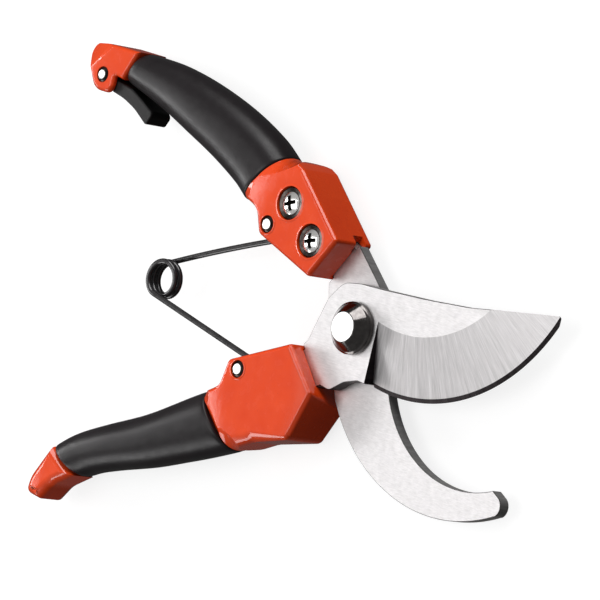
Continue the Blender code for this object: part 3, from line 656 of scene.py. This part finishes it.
leave, meet = inner_tangent(UPPER_RIVET, EYE_R, COIL, COIL_R)
start = degrees(atan2(meet[1] - COIL[1], meet[0] - COIL[0])) % 360
leave2, meet2 = inner_tangent((LOWER_RIVET[0], -LOWER_RIVET[1]), EYE_R, (COIL[0], -COIL[1]), COIL_R)
leave2, meet2 = np.array((leave2[0], -leave2[1])), np.array((meet2[0], -meet2[1]))
finish = degrees(atan2(meet2[1] - COIL[1], meet2[0] - COIL[0])) % 360
total = finish + 360 * COIL_TURNS - start


def leg(a, b, z, bow, count=24):
    """A leg with a very slight bow towards +Y."""
    a, b = np.array(a), np.array(b)
    u = (b - a) / np.linalg.norm(b - a)
    n = np.array((-u[1], u[0]))
    n = n if n[1] > 0 else -n
    return [(*(a + (b - a) * t + n * bow * 4 * t * (1 - t)), z) for t in np.linspace(0, 1, count)]


def coil_point(t):
    a = start + total * t
    ease = t * t * (3 - 2 * t) * 0.15 + t * 0.85
    return (*xy(COIL, COIL_R, a), LEG_Z[0] + (LEG_Z[1] - LEG_Z[0]) * ease)


path = eye_path(UPPER_RIVET, leave, LEG_Z[0], -1)
path += leg(leave, meet, LEG_Z[0], 0.5)[1:]
path += [coil_point(t) for t in np.linspace(0, 1, 150)[1:]]
path += leg(meet2, leave2, LEG_Z[1], 0.0)[1:]
spring = tube("wire_spring", path, WIRE_R)
# the front eye stays round its rivet; the leg slides a little way out of it as the handles close
leg_way = (meet2 - leave2) / np.linalg.norm(meet2 - leave2)
hook_in = [(*(leave2 - leg_way * 0.03), LEG_Z[1])]
spring_eye = tube("wire_front_eye", hook_in + eye_path(LOWER_RIVET, leave2, LEG_Z[1], 1)[::-1][1:], WIRE_R)

# millimetres to metres
MADE = [upper, lower, upper_grip, lower_grip, hook, blade, *hook_screws, *blade_screws, rivet_upper, rivet_lower, rivet_latch, catch, bolt, bush, washer, nut, spring, spring_eye]

# ================================================================= materials


class Look:
    """A material and short ways to add nodes to it."""

    def __init__(self, name):
        self.material = bpy.data.materials.new(name)
        self.material.use_nodes = True
        self.tree = self.material.node_tree
        self.shader = self.tree.nodes["Principled BSDF"]
        self.place = self.node("ShaderNodeTexCoord").outputs["Object"]

    def node(self, kind, **settings):
        made = self.tree.nodes.new(kind)
        for key, value in settings.items():
            setattr(made, key, value)
        return made

    def link(self, a, b):
        self.tree.links.new(a, b)

    def set(self, **values):
        for key, value in values.items():
            self.shader.inputs[key.replace("_", " ")].default_value = value

    def math(self, operation, a, b=None, c=None):
        made = self.node("ShaderNodeMath", operation=operation)
        for i, v in enumerate((a, b, c)):
            if v is None:
                continue
            if isinstance(v, (int, float)):
                made.inputs[i].default_value = v
            else:
                self.link(v, made.inputs[i])
        return made.outputs[0]

    def noise(self, scale, detail=3.0, rough=0.5, vector=None, distortion=0.0):
        made = self.node("ShaderNodeTexNoise")
        made.inputs["Scale"].default_value = scale
        made.inputs["Detail"].default_value = detail
        made.inputs["Roughness"].default_value = rough
        made.inputs["Distortion"].default_value = distortion
        self.link(vector if vector is not None else self.place, made.inputs["Vector"])
        return made.outputs["Fac"]

    def stretched(self, x, y, z, turn=0.0):
        made = self.node("ShaderNodeMapping")
        made.inputs["Scale"].default_value = (x, y, z)
        made.inputs["Rotation"].default_value = (0, 0, radians(turn))
        self.link(self.place, made.inputs["Vector"])
        return made.outputs["Vector"]

    def spread(self, value, low, high, a=0.3, b=0.7):
        made = self.node("ShaderNodeMapRange")
        made.inputs["From Min"].default_value = a
        made.inputs["From Max"].default_value = b
        made.inputs["To Min"].default_value = low
        made.inputs["To Max"].default_value = high
        self.link(value, made.inputs["Value"])
        return made.outputs["Result"]

    def mix(self, value, a, b):
        made = self.node("ShaderNodeMix", data_type="RGBA")
        self.link(value, made.inputs["Factor"])
        for socket, colour in ((made.inputs["A"], a), (made.inputs["B"], b)):
            pass
        rgba = [s for s in made.inputs if s.type == "RGBA"]
        for socket, colour in zip(rgba, (a, b)):
            if isinstance(colour, tuple):
                socket.default_value = (*colour, 1)
            else:
                self.link(colour, socket)
        return [s for s in made.outputs if s.type == "RGBA"][0]

    def bump(self, height, strength, distance, below=None):
        made = self.node("ShaderNodeBump")
        made.inputs["Strength"].default_value = strength
        made.inputs["Distance"].default_value = distance
        self.link(height, made.inputs["Height"])
        if below is not None:
            self.link(below, made.inputs["Normal"])
        return made.outputs["Normal"]

    def polar(self, around, ring):
        """Coordinates that run round a centre: arc length at the given radius, and distance, in metres."""
        split = self.node("ShaderNodeSeparateXYZ")
        self.link(self.place, split.inputs[0])
        x = self.math("SUBTRACT", split.outputs[0], around[0] * MM)
        y = self.math("SUBTRACT", split.outputs[1], around[1] * MM)
        angle = self.math("ARCTAN2", y, x)
        reach = self.math("SQRT", self.math("ADD", self.math("MULTIPLY", x, x), self.math("MULTIPLY", y, y)))
        return self.math("MULTIPLY", angle, ring * MM), reach

    def join(self, x, y, z=0.0):
        made = self.node("ShaderNodeCombineXYZ")
        for i, v in enumerate((x, y, z)):
            if isinstance(v, (int, float)):
                made.inputs[i].default_value = v
            else:
                self.link(v, made.inputs[i])
        return made.outputs[0]

    def colour(self, socket):
        self.link(socket, self.shader.inputs["Base Color"])

    def rough(self, socket):
        self.link(socket, self.shader.inputs["Roughness"])

    def normal(self, socket):
        self.link(socket, self.shader.inputs["Normal"])


def orange_paint(name, centre, flat, rise):
    """Glossy enamel over a face that is flat in the middle and falls away slightly towards its rim."""
    k = Look(name)
    k.set(Metallic=0.0, IOR=1.5)
    k.shader.inputs["Specular IOR Level"].default_value = 0.14
    k.shader.inputs["Coat Weight"].default_value = 0.85
    k.shader.inputs["Coat Roughness"].default_value = 0.035
    tone = k.spread(k.noise(120, 4, 0.55), 0, 1, 0.25, 0.75)
    base = k.mix(tone, (0.78, 0.054, 0.0050), (0.85, 0.070, 0.0080))
    speck = k.spread(k.noise(2600, 1, 0.4), 0, 1, 0.77, 0.80)
    k.colour(k.mix(speck, base, (0.42, 0.030, 0.010)))
    k.rough(k.spread(k.noise(300, 3), 0.20, 0.30))
    peel = k.bump(k.noise(700, 2, 0.5), 0.10, 0.0002)
    wave = k.bump(k.noise(140, 2, 0.5), 0.12, 0.0006, peel)
    streak = k.bump(k.noise(1.0, 3, 0.6, k.stretched(260, 60, 260, -25)), 0.10, 0.0010, wave)
    around, reach = k.polar(centre, 1.0)
    past = k.math("MAXIMUM", k.math("SUBTRACT", reach, flat * MM), 0.0)
    k.normal(k.bump(k.math("MULTIPLY", k.math("MULTIPLY", past, past), -rise), 1.0, 1.0, streak))
    return k.material


def black_rubber():
    k = Look("black_rubber")
    k.set(Metallic=0.0, IOR=1.5)
    k.shader.inputs["Specular IOR Level"].default_value = 0.24
    k.shader.inputs["Sheen Weight"].default_value = 0.03
    k.shader.inputs["Sheen Roughness"].default_value = 0.4
    tone = k.spread(k.noise(90, 5, 0.6), 0, 1, 0.25, 0.75)
    k.colour(k.mix(tone, (0.0095, 0.0075, 0.0085), (0.0165, 0.0135, 0.015)))
    k.rough(k.spread(k.noise(420, 3), 0.30, 0.40))
    fine = k.bump(k.noise(3800, 2, 0.6), 0.16, 0.00008)
    k.normal(k.bump(k.noise(260, 3, 0.5), 0.05, 0.0003, fine))
    return k.material


def plate_steel():
    """Flat faces: belt-ground, fine broken grain along the blades."""
    k = Look("ground_steel")
    k.set(Metallic=1.0)
    grain = k.noise(1.0, 4, 0.65, k.stretched(420, 2600, 400, 8))
    cloud = k.noise(520, 4, 0.7)
    both = k.math("MULTIPLY_ADD", grain, 0.6, k.math("MULTIPLY", cloud, 0.4))
    k.colour(k.mix(k.spread(both, 0, 1, 0.32, 0.68), (0.55, 0.535, 0.538), (0.73, 0.713, 0.717)))
    k.rough(k.spread(cloud, 0.38, 0.48))
    k.normal(k.bump(both, 0.22, 0.00012))
    return k.material


def grind_steel(name, dark, light, strength):
    """The bevel: grinding lines run straight out from the grinding axis to the edge."""
    k = Look(name)
    k.set(Metallic=1.0)
    along, reach = k.polar(EDGE_CENTRE, 55.0)
    fine = k.noise(1.0, 3, 0.65, k.join(k.math("MULTIPLY", along, 4200), k.math("MULTIPLY", reach, 130)))
    broad = k.noise(1.0, 3, 0.6, k.join(k.math("MULTIPLY", along, 900), k.math("MULTIPLY", reach, 40)))
    both = k.math("MULTIPLY_ADD", fine, 0.55, k.math("MULTIPLY", broad, 0.45))
    k.colour(k.mix(k.spread(both, 0, 1, 0.34, 0.66), dark, light))
    k.rough(k.spread(broad, 0.40, 0.50))
    k.normal(k.bump(both, strength, 0.0002))
    return k.material


def edge_steel():
    """Blanked edges: darker, with marks across the thickness."""
    k = Look("blanked_edge")
    k.set(Metallic=0.75)
    marks = k.noise(1.0, 4, 0.7, k.stretched(1500, 1500, 160))
    k.colour(k.mix(k.spread(marks, 0, 1), (0.38, 0.37, 0.365), (0.56, 0.55, 0.545)))
    k.rough(k.spread(marks, 0.38, 0.55))
    k.normal(k.bump(marks, 0.25, 0.0001))
    return k.material


def painted_shade_rim_steel():
    """Painted shade: the broken corner along a blanked rim, coloured near-black to draw the thin dark contact line."""
    k = Look("rim_painted_shade_line")
    k.set(Metallic=0.6)
    marks = k.noise(1.0, 3, 0.7, k.stretched(900, 900, 300))
    k.colour(k.mix(k.spread(marks, 0, 1), (0.05, 0.048, 0.048), (0.16, 0.155, 0.152)))
    k.rough(k.spread(marks, 0.45, 0.6))
    return k.material


def turned_metal(name, dark, light, rough, centre):
    """Turned faces, with fine rings about the piece's own axis."""
    k = Look(name)
    k.set(Metallic=1.0)
    along, reach = k.polar(centre, 1.0)
    ring = k.noise(1.0, 2, 0.6, k.join(k.math("MULTIPLY", reach, 5200), k.math("MULTIPLY", along, 900)))
    stain = k.noise(700, 3, 0.6)
    k.colour(k.mix(k.spread(stain, 0, 1), dark, light))
    k.rough(k.spread(ring, rough * 0.8, rough * 1.3))
    k.normal(k.bump(ring, 0.10, 0.00005))
    return k.material


def black_wire():
    k = Look("black_wire")
    k.set(Metallic=0.3, IOR=1.5)
    k.shader.inputs["Coat Weight"].default_value = 0.7
    k.shader.inputs["Coat Roughness"].default_value = 0.12
    tone = k.noise(600, 3, 0.6)
    k.colour(k.mix(k.spread(tone, 0, 1), (0.012, 0.011, 0.012), (0.030, 0.028, 0.030)))
    k.rough(k.spread(tone, 0.26, 0.38))
    k.normal(k.bump(k.noise(1500, 2), 0.10, 0.00006))
    return k.material


def black_plastic():
    k = Look("black_plastic")
    k.set(Metallic=0.0, IOR=1.48)
    k.shader.inputs["Specular IOR Level"].default_value = 0.30
    tone = k.noise(260, 4, 0.6)
    k.colour(k.mix(k.spread(tone, 0, 1), (0.0035, 0.003, 0.0033), (0.0085, 0.0075, 0.008)))
    k.rough(k.spread(tone, 0.42, 0.56))
    k.normal(k.bump(k.noise(4200, 2), 0.22, 0.00006))
    return k.material


# painted shade: the near-black inside of the screws' cross recesses
def painted_shade_recess():
    k = Look("painted_shade_recess")
    k.set(Metallic=0.8)
    tone = k.noise(1500, 3, 0.6)
    k.colour(k.mix(k.spread(tone, 0, 1), (0.020, 0.018, 0.017), (0.07, 0.065, 0.06)))
    k.rough(k.spread(tone, 0.35, 0.6))
    return k.material


PAINT_UPPER = orange_paint("orange_paint_upper", (-26.0, 23.0), 15.0, 13.0)
PAINT_LOWER = orange_paint("orange_paint_lower", (-28.0, -26.5), 13.0, 16.0)
# the rim line material is painted shade: near-black chamfer faces drawing thin dark contact lines along the plate rims
RUBBER, PLATE, EDGE, PAINTED_SHADE_LINE = black_rubber(), plate_steel(), edge_steel(), painted_shade_rim_steel()
GRIND = grind_steel("ground_bevel", (0.38, 0.368, 0.371), (0.62, 0.604, 0.608), 0.20)
# painted shade and painted dark reflection: the second bevel and the heel walls get near-black steel
SHADE_PAINTED_MICRO = grind_steel("second_bevel_painted_shade", (0.014, 0.011, 0.012), (0.050, 0.043, 0.045), 0.25)
# the recess material is near-black painted shade for the screws' cross recesses
WIRE, PLASTIC, PAINTED_SHADE_RECESS = black_wire(), black_plastic(), painted_shade_recess()
# the pivot head: the cone's steel painted nearly black as a painted dark reflection, the flat top painted nearly white
# as a painted highlight
PIVOT_CONE_PAINTED_SHADE = turned_metal("dark_chrome", (0.10, 0.092, 0.090), (0.16, 0.15, 0.145), 0.13, (0, 0))
PIVOT_TOP_PAINTED_HIGHLIGHT = turned_metal("pivot_flat_painted_highlight", (0.96, 0.955, 0.95), (0.99, 0.985, 0.985), 0.5, (0, 0))
BRONZE = turned_metal("bronze", (0.42, 0.24, 0.09), (0.52, 0.32, 0.14), 0.3, (0, 0))
NUT = turned_metal("plated_steel", (0.58, 0.57, 0.54), (0.72, 0.71, 0.68), 0.26, (0, 0))


# each head: the plated dome, a near-black ring painted as shade and dark reflection, and the painted-shade recess
def head_looks(tag, centre, dome=0.17):
    return [
        turned_metal("plated_" + tag, (0.90, 0.89, 0.87), (0.98, 0.975, 0.96), dome, centre),
        turned_metal("rim_painted_shade_" + tag, (0.012, 0.010, 0.009), (0.085, 0.072, 0.066), 0.20, centre),
        PAINTED_SHADE_RECESS,
    ]


TAIL_PAINT_UPPER = orange_paint("orange_paint_upper_tail", (-124.0, 55.0), 5.0, 14.0)
TAIL_PAINT_LOWER = orange_paint("orange_paint_lower_tail", (-108.0, -70.0), 4.0, 12.0)
paint(upper, [PAINT_UPPER, TAIL_PAINT_UPPER], lambda c, n: 1 if c.x < -80 else 0)
paint(lower, [PAINT_LOWER, TAIL_PAINT_LOWER], lambda c, n: 1 if c.x < -80 else 0)
paint(upper_grip, [RUBBER])
paint(lower_grip, [RUBBER])
# the hook's chamfer faces get the near-black painted shade line (index 2)
paint(hook, [PLATE, EDGE, PAINTED_SHADE_LINE], lambda c, n: 0 if abs(n.z) > 0.97 else 2 if abs(n.z) > 0.2 else 1)


def blade_rule(c, n):
    if abs(n.z) > 0.9995:
        return 0
    reach = ((c.x - EDGE_CENTRE[0]) ** 2 + (c.y - EDGE_CENTRE[1]) ** 2) ** 0.5
    if c.x > HEEL_X - 0.2 and n.z > 0.93:
        return 2
    # the second bevel: near-black painted shade and painted dark reflection (index 3)
    if c.x > HEEL_X - 0.2 and n.z > 0.5 and reach > MICRO_R - 0.4:
        return 3
    # chamfer faces get the near-black painted shade line (index 4)
    if abs(n.z) > 0.2:
        return 4
    # the heel's step wall and its lower wall: near-black painted shade (index 3)
    if HEEL_X - 0.3 < c.x < HEEL_X + 0.3 and reach < EDGE_R - 0.5 and n.x > 0.5:
        return 3
    return 3 if c.x < HEEL_X and c.y < -13.5 and n.y < -0.5 and c.x > -9 else 1


paint(blade, [PLATE, EDGE, GRIND, SHADE_PAINTED_MICRO, PAINTED_SHADE_LINE], blade_rule)
for obj, centre, base, s in ((hook_screws[0], HOOK_SCREWS[0], 13.3, 1), (hook_screws[1], HOOK_SCREWS[1], 13.3, 1), (blade_screws[0], BLADE_SCREWS[0], 4.8, -1), (blade_screws[1], BLADE_SCREWS[1], 4.8, -1)):

    def screw_rule(c, n, centre=centre, base=base, s=s):
        reach = ((c.x - centre[0]) ** 2 + (c.y - centre[1]) ** 2) ** 0.5
        up = (c.z - base) * s
        if up < 0.05:
            return 0
        crown = RIM + 0.22 + 0.85 * (1 - min(1.0, reach / DOME_R) ** 2)
        # the cross recess gets the painted shade (index 2), the ring outside the dome the near-black painted-shade
        # ring (index 1)
        if reach < 2.5 and up < crown - 0.12:
            return 2
        return 1 if reach > DOME_R - 0.02 else 0

    paint(obj, head_looks(obj.name, centre), screw_rule)
for obj, centre, r, high in ((rivet_upper, UPPER_RIVET, RIVET_HEAD_R, 17.7), (rivet_lower, LOWER_RIVET, RIVET_HEAD_R, 17.7), (rivet_latch, LATCH_PIN, RIVET_HEAD_R - 0.2, TAIL_TOP + 0.4)):

    def rivet_rule(c, n, centre=centre, r=r, high=high):
        reach = ((c.x - centre[0]) ** 2 + (c.y - centre[1]) ** 2) ** 0.5
        # the rivet's top chamfer ring gets the near-black painted-shade ring (index 1)
        return 1 if reach > r - 0.9 and c.z > high - 1.4 else 0

    paint(obj, head_looks(obj.name, centre, 0.5)[:2], rivet_rule)
paint(catch, [PLASTIC])
# cone faces: painted dark reflection; flat top: painted highlight
paint(bolt, [PIVOT_CONE_PAINTED_SHADE, PIVOT_TOP_PAINTED_HIGHLIGHT], lambda c, n: 1 if n.z > 0.97 and c.z > HEAD_TOP - 0.1 else 0)
paint(bush, [BRONZE])
paint(washer, [NUT])
paint(nut, [NUT])
paint(spring, [WIRE])
paint(spring_eye, [WIRE])

for obj in MADE:
    obj.data.transform(Matrix.Scale(MM, 4))

STANDS = [
    (upper, "upper", ["upper_handle"], "orange_paint"), (lower, "lower", ["lower_handle"], "orange_paint"),
    (upper_grip, "upper", ["upper_grip"], "black_rubber"), (lower_grip, "lower", ["lower_grip"], "black_rubber"),
    (hook, "upper", ["hook_blade"], "ground_steel"), (blade, "lower", ["cutting_blade"], "ground_steel"),
    (hook_screws[0], "upper", ["hook_screw_1"], "zinc_steel"), (hook_screws[1], "upper", ["hook_screw_2"], "zinc_steel"),
    (blade_screws[0], "lower", ["blade_screw_1"], "zinc_steel"), (blade_screws[1], "lower", ["blade_screw_2"], "zinc_steel"),
    (rivet_upper, "upper", ["upper_spring_rivet"], "zinc_steel"), (rivet_lower, "lower", ["lower_spring_rivet"], "zinc_steel"),
    (rivet_latch, "upper", ["latch_rivet"], "zinc_steel"), (catch, "catch", ["latch"], "black_plastic"),
    (bolt, "upper", ["pivot_bolt"], "dark_chrome"), (bush, "lower", ["pivot_bush"], "bronze"),
    (washer, "upper", ["pivot_spring_washer"], "zinc_steel"), (nut, "upper", ["pivot_nut"], "zinc_steel"),
]
for obj, body, nodes, slot in STANDS:
    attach(obj, body)
    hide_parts(*nodes)
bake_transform(spring)
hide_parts("spring_rear_half", "spring_front_half")
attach(spring_eye, "lower")

# ================================================================= floor, lights, camera
floor_mesh = bpy.data.meshes.new("floor")
floor_mesh.from_pydata([(-6, -6, 0), (6, -6, 0), (6, 6, 0), (-6, 6, 0)], [], [(0, 1, 2, 3)])
floor = bpy.data.objects.new("floor", floor_mesh)
bpy.context.scene.collection.objects.link(floor)
floor.location = (0, 0, -0.0002)
pale = Look("pale_floor")
pale.set(Roughness=0.9)
pale.shader.inputs["Specular IOR Level"].default_value = 0.0
pale.shader.inputs["Emission Color"].default_value = (1.0, 1.0, 1.0, 1.0)
pale.shader.inputs["Emission Strength"].default_value = 0.80
pale.colour(pale.mix(pale.spread(pale.noise(3, 2), 0, 1), (0.29, 0.29, 0.29), (0.31, 0.31, 0.31)))
pale.material.cycles.emission_sampling = "NONE"
floor_mesh.materials.append(pale.material)
floor.visible_diffuse = False
floor.visible_glossy = False

scene = bpy.context.scene
world = bpy.data.worlds.new("studio")
scene.world = world
world.use_nodes = True
tree = world.node_tree
sky = tree.nodes["Background"]
place = tree.nodes.new("ShaderNodeTexCoord")
split = tree.nodes.new("ShaderNodeSeparateXYZ")
tree.links.new(place.outputs["Generated"], split.inputs[0])


def world_range(socket, a, b, low, high):
    made = tree.nodes.new("ShaderNodeMapRange")
    made.interpolation_type = "SMOOTHSTEP"
    for name, value in (("From Min", a), ("From Max", b), ("To Min", low), ("To Max", high)):
        made.inputs[name].default_value = value
    tree.links.new(socket, made.inputs["Value"])
    return made.outputs["Result"]


# brighter above, darker below and on the blades' side
rise = world_range(split.outputs[2], -0.15, 0.75, 0.07, 0.38)
side = world_range(split.outputs[0], -0.35, 0.60, 1.0, 0.50)
product = tree.nodes.new("ShaderNodeMath")
product.operation = "MULTIPLY"
tree.links.new(rise, product.inputs[0])
tree.links.new(side, product.inputs[1])
tree.links.new(product.outputs[0], sky.inputs["Strength"])
sky.inputs["Color"].default_value = (1, 0.995, 0.99, 1)


def softbox(name, polar, azimuth, distance, width, height, radiance):
    """A soft rectangular light aimed at the tool; polar is from straight up, in degrees."""
    light = bpy.data.lights.new(name, "AREA")
    light.shape = "RECTANGLE"
    light.size, light.size_y = width, height
    light.energy = radiance * pi * width * height
    obj = bpy.data.objects.new(name, light)
    scene.collection.objects.link(obj)
    p, a = radians(polar), radians(azimuth)
    d = Vector((sin(p) * cos(a), sin(p) * sin(a), cos(p)))
    obj.location = Vector((-0.02, 0, 0)) + d * distance
    obj.rotation_euler = d.to_track_quat("Z", "Y").to_euler()
    return obj


softbox("key", 17, 187, 1.6, 1.1, 0.86, 2.75)
softbox("low", 68, 187, 1.6, 0.8, 0.38, 9.0)
softbox("far", 68, 88, 1.6, 1.3, 0.90, 5.5)
softbox("near", 70, -122, 1.6, 0.9, 0.60, 4.0)

# camera: long lens, looking down at the tool from the blades' side, turned on its side
FOCAL_PX, SCALE, TILT, LEAN, TURN = 5000.0, 3.356, radians(43.4), radians(8.2), radians(6.834)
PIVOT_PX, RIM_LEVEL = (349.75, 327.8), 13.8
axis_a = np.array((cos(TURN), sin(TURN), 0.0))
axis_z = np.array((0, 0, 1.0))
look = cos(TILT) * axis_z + sin(TILT) * axis_a
side_a = cos(TILT) * axis_a - sin(TILT) * axis_z
side_b = np.cross(axis_a, axis_z)
right = cos(LEAN) * side_a - sin(LEAN) * side_b
down = sin(LEAN) * side_a + cos(LEAN) * side_b
rows = np.stack([right, down, np.cross(right, down)])
ray = np.array(((PIVOT_PX[0] - 300) / FOCAL_PX, (PIVOT_PX[1] - 300) / FOCAL_PX, 1.0))
seen = rows.T @ ray
seen /= np.linalg.norm(seen)
turn = Vector(seen).rotation_difference(Vector(-look))
rows = np.array([list(turn @ Vector(r)) for r in rows])
eye = np.array((0, 0, RIM_LEVEL)) - rows.T @ ray * (FOCAL_PX / SCALE)
camera_data = bpy.data.cameras.new("camera")
camera_data.sensor_width = 36.0
camera_data.lens = FOCAL_PX / 600 * 36.0
camera_data.clip_end = 50.0
camera = bpy.data.objects.new("camera", camera_data)
scene.collection.objects.link(camera)
camera.matrix_world = Matrix((
    (rows[0][0], -rows[1][0], -rows[2][0], eye[0] * MM),
    (rows[0][1], -rows[1][1], -rows[2][1], eye[1] * MM),
    (rows[0][2], -rows[1][2], -rows[2][2], eye[2] * MM),
    (0, 0, 0, 1),
))
scene.camera = camera
scene.view_settings.view_transform = "Standard"
scene.view_settings.look = "None"
scene.view_settings.exposure = 0.0

bpy.context.view_layer.update()
